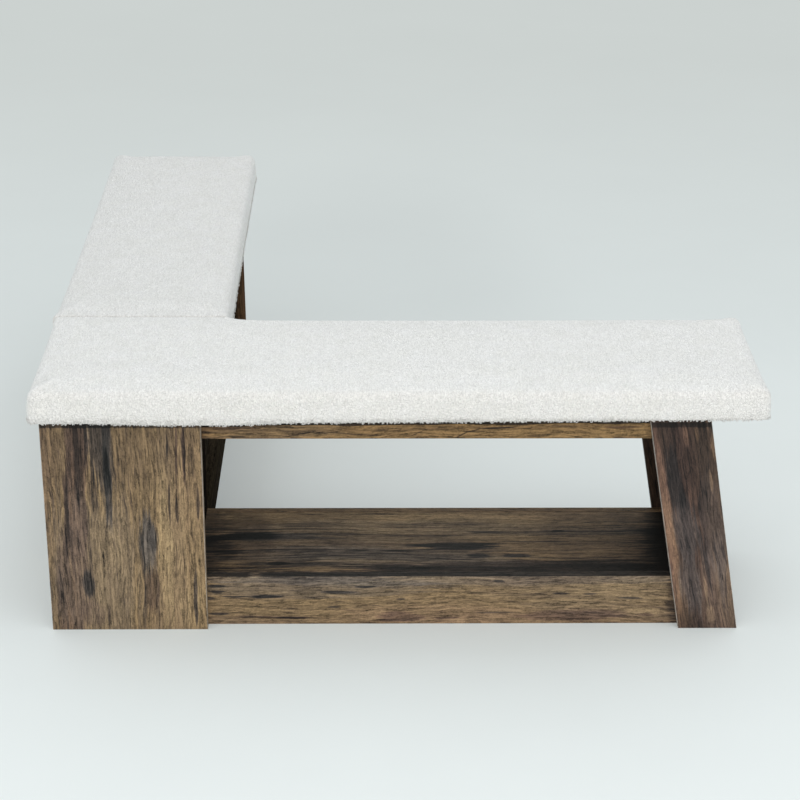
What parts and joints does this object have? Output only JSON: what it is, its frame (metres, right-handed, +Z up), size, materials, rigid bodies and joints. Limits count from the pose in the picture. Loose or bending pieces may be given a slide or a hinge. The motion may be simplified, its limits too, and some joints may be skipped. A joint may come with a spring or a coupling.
{
  "type": "corner storage bench",
  "caption": "L-shaped corner bench: padded looped-fabric seats on a rustic board base with leaning end legs and an open lower storage shelf.",
  "frame": {"origin": "on the floor under the middle of the whole bench's bounding box", "axes": "+Z up, +X along the front arm from the outer corner to the right leg, +Y along the left arm from the outer corner to the far leg"},
  "size_m": [1.25, 1.332, 0.4648],
  "materials": {
    "corner_board": "satin rustic oak print, upright grain",
    "rail_board": "satin rustic oak print, grain along the arm",
    "leg_board": "satin dark rustic print, grain along the leg",
    "shelf_board": "satin rustic print, grain along the arm",
    "raw_wood": "planed softwood, unfinished",
    "pad_board": "raw plywood",
    "boucle": "white looped fleece, matte",
    "zinc_steel": "zinc plated, satin"
  },
  "bodies": {
    "root": {"corner_front_panel": "corner_board", "corner_side_panel": "corner_board", "corner_back_divider": "leg_board", "corner_right_divider": "leg_board", "front_arm_front_rail": "rail_board", "front_arm_front_apron": "rail_board", "right_leg_front_board": "leg_board", "front_arm_front_shelf_cleat": "raw_wood", "front_arm_lower_front_bracket": "zinc_steel", "front_arm_upper_front_bracket": "zinc_steel", "front_arm_rear_rail": "rail_board", "front_arm_rear_apron": "rail_board", "right_leg_rear_board": "leg_board", "front_arm_rear_shelf_cleat": "raw_wood", "front_arm_lower_rear_bracket": "zinc_steel", "front_arm_upper_rear_bracket": "zinc_steel", "right_leg_end_panel": "leg_board", "front_arm_shelf": "shelf_board", "front_arm_shelf_support": "raw_wood", "front_arm_seat_batten_1": "raw_wood", "front_arm_seat_batten_2": "raw_wood", "front_arm_seat_batten_3": "raw_wood", "front_seat_pad_screw_1": "zinc_steel", "front_seat_pad_screw_2": "zinc_steel", "front_seat_pad_screw_3": "zinc_steel", "front_seat_pad_screw_4": "zinc_steel", "front_seat_pad_screw_5": "zinc_steel", "front_seat_pad_screw_6": "zinc_steel", "front_seat_pad": "boucle", "front_seat_pad_board": "pad_board", "left_arm_inner_rail": "rail_board", "left_arm_inner_apron": "rail_board", "far_leg_inner_board": "leg_board", "left_arm_inner_shelf_cleat": "raw_wood", "left_arm_lower_inner_bracket": "zinc_steel", "left_arm_upper_inner_bracket": "zinc_steel", "left_arm_outer_rail": "rail_board", "left_arm_outer_apron": "rail_board", "far_leg_outer_board": "leg_board", "left_arm_outer_shelf_cleat": "raw_wood", "left_arm_lower_outer_bracket": "zinc_steel", "left_arm_upper_outer_bracket": "zinc_steel", "far_leg_end_panel": "leg_board", "left_arm_shelf": "shelf_board", "left_arm_shelf_support": "raw_wood", "left_arm_seat_batten_1": "raw_wood", "left_arm_seat_batten_2": "raw_wood", "left_arm_seat_batten_3": "raw_wood", "left_seat_pad_screw_1": "zinc_steel", "left_seat_pad_screw_2": "zinc_steel", "left_seat_pad_screw_3": "zinc_steel", "left_seat_pad_screw_4": "zinc_steel", "left_seat_pad_screw_5": "zinc_steel", "left_seat_pad_screw_6": "zinc_steel", "left_seat_pad": "boucle", "left_seat_pad_board": "pad_board"}
  },
  "joints": []
}
